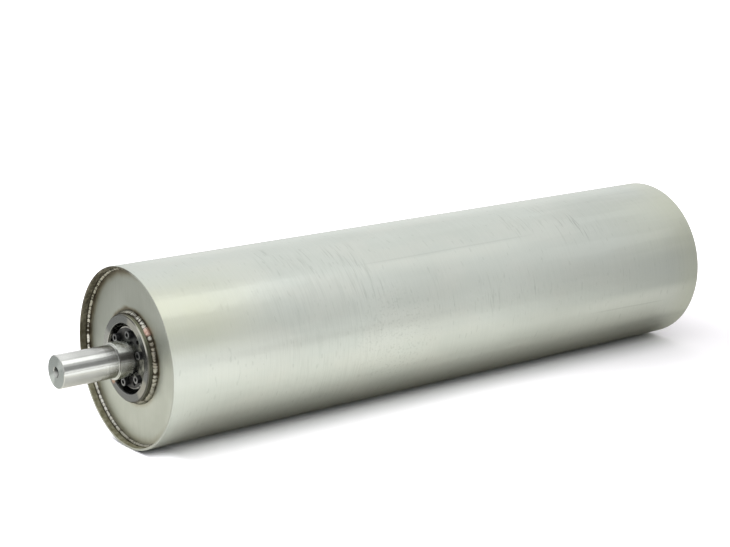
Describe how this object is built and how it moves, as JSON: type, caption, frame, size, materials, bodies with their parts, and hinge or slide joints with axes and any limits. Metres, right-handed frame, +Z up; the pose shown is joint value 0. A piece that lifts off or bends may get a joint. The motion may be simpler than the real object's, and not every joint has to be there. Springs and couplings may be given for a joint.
{
  "type": "magnetic head pulley",
  "caption": "Magnetic head pulley for a belt conveyor: welded stainless drum with recessed ends and permanent magnets inside, clamped by locking bushes to a plain through shaft.",
  "frame": {"origin": "centre of the drum on the shaft's axis", "axes": "+X along the shaft towards the right journal, +Y to the back, +Z up"},
  "size_m": [1.05, 0.2199, 0.22],
  "materials": {
    "ground_stainless": "satin",
    "disc_stainless": "satin",
    "weld_bead": "satin",
    "hub_steel": "satin",
    "turned_steel": "polished",
    "bush_black": "satin",
    "screw_black": "satin",
    "yoke_steel": "satin",
    "ferrite": "matte"
  },
  "bodies": {
    "root": {"drum_shell": "ground_stainless", "shaft": "turned_steel", "yoke_tube": "yoke_steel", "magnet_row_01": "ferrite", "magnet_row_02": "ferrite", "magnet_row_03": "ferrite", "magnet_row_04": "ferrite", "magnet_row_05": "ferrite", "magnet_row_06": "ferrite", "magnet_row_07": "ferrite", "magnet_row_08": "ferrite", "magnet_row_09": "ferrite", "magnet_row_10": "ferrite", "magnet_row_11": "ferrite", "magnet_row_12": "ferrite", "left_end_disc": "disc_stainless", "right_end_disc": "disc_stainless", "left_shell_weld": "weld_bead", "right_shell_weld": "weld_bead", "left_hub": "hub_steel", "right_hub": "hub_steel", "left_hub_weld": "weld_bead", "right_hub_weld": "weld_bead", "left_bush_inner_cone": "bush_black", "right_bush_inner_cone": "bush_black", "left_bush_outer_cone": "bush_black", "right_bush_outer_cone": "bush_black", "left_bush_screws": "screw_black", "right_bush_screws": "screw_black", "left_yoke_flange": "yoke_steel", "right_yoke_flange": "yoke_steel"}
  },
  "joints": []
}
